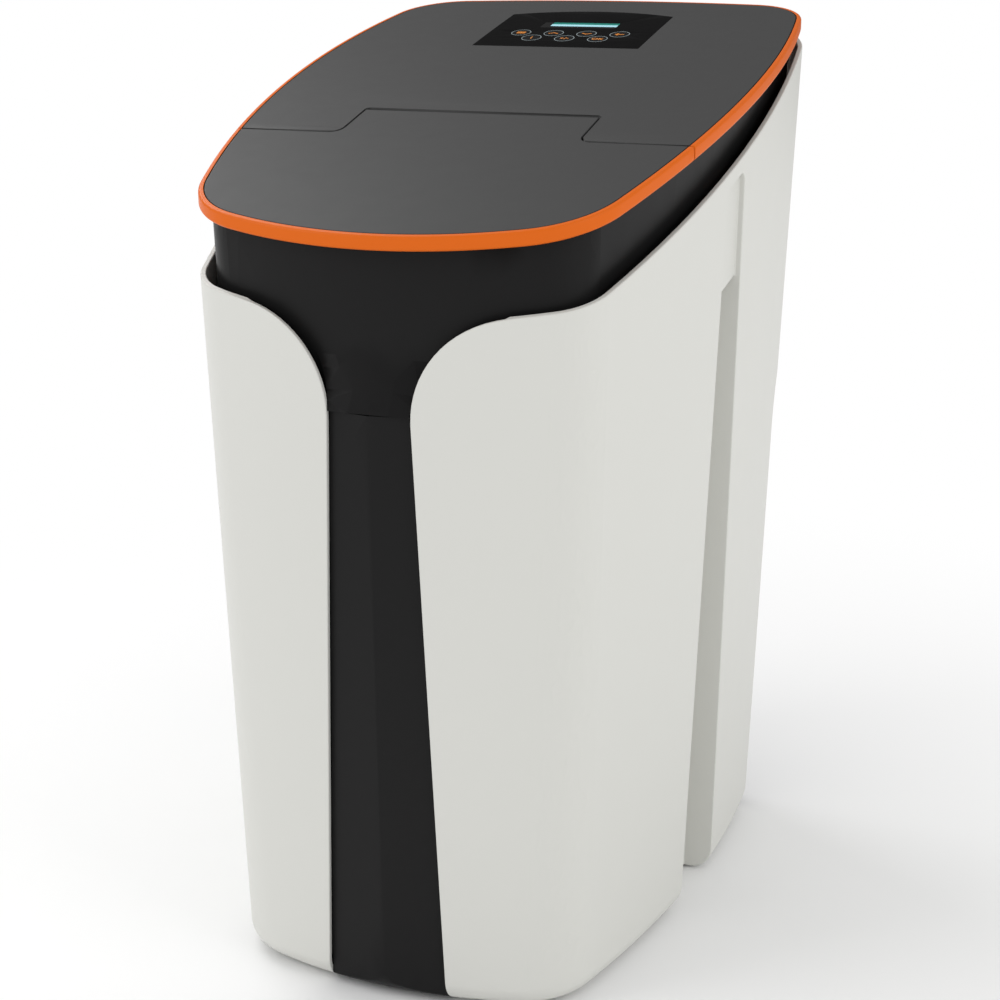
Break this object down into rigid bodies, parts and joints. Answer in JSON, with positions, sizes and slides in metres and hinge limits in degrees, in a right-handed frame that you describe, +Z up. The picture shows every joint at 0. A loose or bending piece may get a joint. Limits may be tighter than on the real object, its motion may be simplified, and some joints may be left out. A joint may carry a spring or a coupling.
{
  "type": "water softener",
  "caption": "Floor-standing cabinet water softener: tapered shells, hinged salt flap, control panel, salt tank with brine well, resin bottle and motor-driven control valve.",
  "frame": {"origin": "on the floor under the middle of the lid's plan outline", "axes": "+X to the viewer's right, the front faces -Y, +Z up"},
  "size_m": [0.3624, 0.488, 0.6637],
  "materials": {
    "shell_plastic": "satin",
    "black_plastic": "fine grain",
    "lid_plastic": "satin",
    "trim_plastic": "gloss",
    "fascia_plastic": "satin",
    "key_plastic": "soft touch",
    "window_plastic": "clear window",
    "electronics": "circuit board",
    "grey_plastic": "moulded",
    "white_plastic": "moulded",
    "bottle_plastic": "wound fibre",
    "resin_beads": "packed beads",
    "valve_plastic": "glass filled",
    "hose_plastic": "flexible",
    "steel": "bright",
    "rubber_parts": "matt",
    "socket_plastic": "moulded"
  },
  "bodies": {
    "cabinet": {"left_shell": "shell_plastic", "right_shell": "shell_plastic", "inner_cabinet": "black_plastic", "front_strip": "black_plastic", "base_pan": "black_plastic", "connection_panel": "black_plastic", "rear_cover": "lid_plastic", "rear_trim": "trim_plastic", "control_fascia": "fascia_plastic", "display_window": "window_plastic", "display_module": "electronics", "control_board": "electronics", "switch_domes": "electronics", "control_housing": "grey_plastic", "bottle_foot": "grey_plastic", "salt_grid": "grey_plastic", "brine_well_cap": "grey_plastic", "turbine_cage": "grey_plastic", "salt_tank": "white_plastic", "brine_well": "white_plastic", "float_rod": "white_plastic", "overflow_pipe": "white_plastic", "resin_bottle": "bottle_plastic", "riser_tube": "bottle_plastic", "resin_bed": "resin_beads", "valve_body": "valve_plastic", "valve_cover": "valve_plastic", "inlet_connector": "valve_plastic", "outlet_connector": "valve_plastic", "injector": "valve_plastic", "brine_hose": "hose_plastic", "drain_hose": "hose_plastic", "drain_nozzle": "hose_plastic", "hinge_pins": "steel", "cover_screws": "steel", "drive_motor": "steel", "feet": "rubber_parts", "power_inlet": "socket_plastic"},
    "flap": {"front_flap": "lid_plastic", "front_trim": "trim_plastic", "flap_seal": "rubber_parts"},
    "float": {"float": "white_plastic"},
    "disc_and_gear": {"valve_disc": "valve_plastic", "drive_gear": "white_plastic"},
    "pinion": {"drive_pinion": "steel"},
    "turbine": {"flow_turbine": "white_plastic"},
    "blending_knob": {"blending_knob": "grey_plastic"},
    "key_menu": {"key_menu": "key_plastic"},
    "key_up": {"key_up": "key_plastic"},
    "key_down": {"key_down": "key_plastic"},
    "key_back": {"key_back": "key_plastic"},
    "key_info": {"key_info": "key_plastic"},
    "key_change": {"key_change": "key_plastic"},
    "key_enter": {"key_enter": "key_plastic"}
  },
  "joints": [
    {"name": "flap_hinge", "type": "hinge", "parent": "cabinet", "child": "flap", "pos_m": [0, -0.0465, 0.59269], "axis": [-1, 0, 0], "range_deg": [0, 95]},
    {"name": "float_slide", "type": "slide", "parent": "cabinet", "child": "float", "axis": [0, 0, 1], "range_m": [0, 0.06]},
    {"name": "disc_turn", "type": "hinge", "parent": "cabinet", "child": "disc_and_gear", "pos_m": [0, 0.092, 0.55405], "axis": [0, 0, 1], "continuous": true},
    {"name": "pinion_turn", "type": "hinge", "parent": "cabinet", "child": "pinion", "pos_m": [-0.036, 0.092, 0.55405], "axis": [0, 0, 1], "continuous": true},
    {"name": "turbine_turn", "type": "hinge", "parent": "cabinet", "child": "turbine", "pos_m": [-0.04, 0.1615, 0.50905], "axis": [0, 1, 0], "continuous": true},
    {"name": "blending_turn", "type": "hinge", "parent": "cabinet", "child": "blending_knob", "pos_m": [0.048, 0.092, 0.53305], "axis": [0, 0, 1], "range_deg": [0, 270]},
    {"name": "key_menu_press", "type": "slide", "parent": "cabinet", "child": "key_menu", "axis": [0, 0.2192, -0.9757], "range_m": [0, 0.0006], "stiffness_N_per_m": 300, "springref_m": -0.0005},
    {"name": "key_up_press", "type": "slide", "parent": "cabinet", "child": "key_up", "axis": [0, 0.2192, -0.9757], "range_m": [0, 0.0006], "stiffness_N_per_m": 300, "springref_m": -0.0005},
    {"name": "key_down_press", "type": "slide", "parent": "cabinet", "child": "key_down", "axis": [0, 0.2192, -0.9757], "range_m": [0, 0.0006], "stiffness_N_per_m": 300, "springref_m": -0.0005},
    {"name": "key_back_press", "type": "slide", "parent": "cabinet", "child": "key_back", "axis": [0, 0.2192, -0.9757], "range_m": [0, 0.0006], "stiffness_N_per_m": 300, "springref_m": -0.0005},
    {"name": "key_info_press", "type": "slide", "parent": "cabinet", "child": "key_info", "axis": [0, 0.2222, -0.975], "range_m": [0, 0.0006], "stiffness_N_per_m": 300, "springref_m": -0.0005},
    {"name": "key_change_press", "type": "slide", "parent": "cabinet", "child": "key_change", "axis": [0, 0.2222, -0.975], "range_m": [0, 0.0006], "stiffness_N_per_m": 300, "springref_m": -0.0005},
    {"name": "key_enter_press", "type": "slide", "parent": "cabinet", "child": "key_enter", "axis": [0, 0.2222, -0.975], "range_m": [0, 0.0006], "stiffness_N_per_m": 300, "springref_m": -0.0005}
  ],
  "couplings": [
    {"joint": "pinion_turn", "follows": "disc_turn", "ratio": -3}
  ]
}
